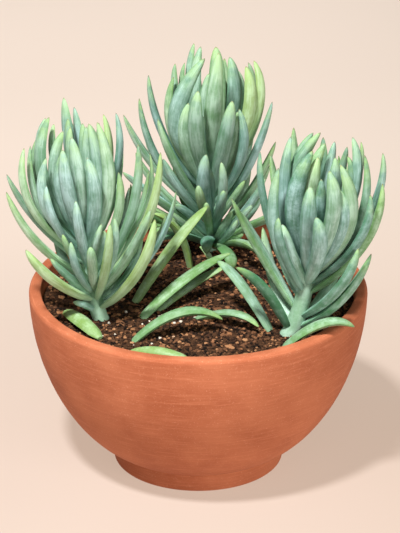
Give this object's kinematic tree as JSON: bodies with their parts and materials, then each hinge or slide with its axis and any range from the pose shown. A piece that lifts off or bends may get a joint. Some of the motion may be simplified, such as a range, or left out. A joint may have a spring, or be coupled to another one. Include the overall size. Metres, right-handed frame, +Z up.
{
  "type": "potted senecio",
  "caption": "Round footed terracotta bowl of soil planted with three leafy shoots of blue-green finger-leaved senecio.",
  "frame": {"origin": "middle of the flat underside of the bowl's foot", "axes": "+Z up, +X to the right and +Y away from the viewer as the picture shows it"},
  "size_m": [0.2724, 0.2608, 0.302],
  "materials": {
    "terracotta": "matte",
    "soil": "matte",
    "leaf": "matte"
  },
  "bodies": {
    "root": {"bowl": "terracotta", "soil": "soil", "left_shoot": "leaf", "middle_shoot": "leaf", "right_shoot": "leaf", "planted_leaf_back": "leaf", "planted_leaf_middle": "leaf", "planted_leaf_below": "leaf", "planted_leaf_front": "leaf", "planted_leaf_beside": "leaf", "planted_leaf_arching": "leaf", "planted_leaf_bent": "leaf", "planted_leaf_over_rim": "leaf", "planted_leaf_small": "leaf", "fallen_leaf_front": "leaf", "fallen_leaf_left": "leaf"}
  },
  "joints": []
}
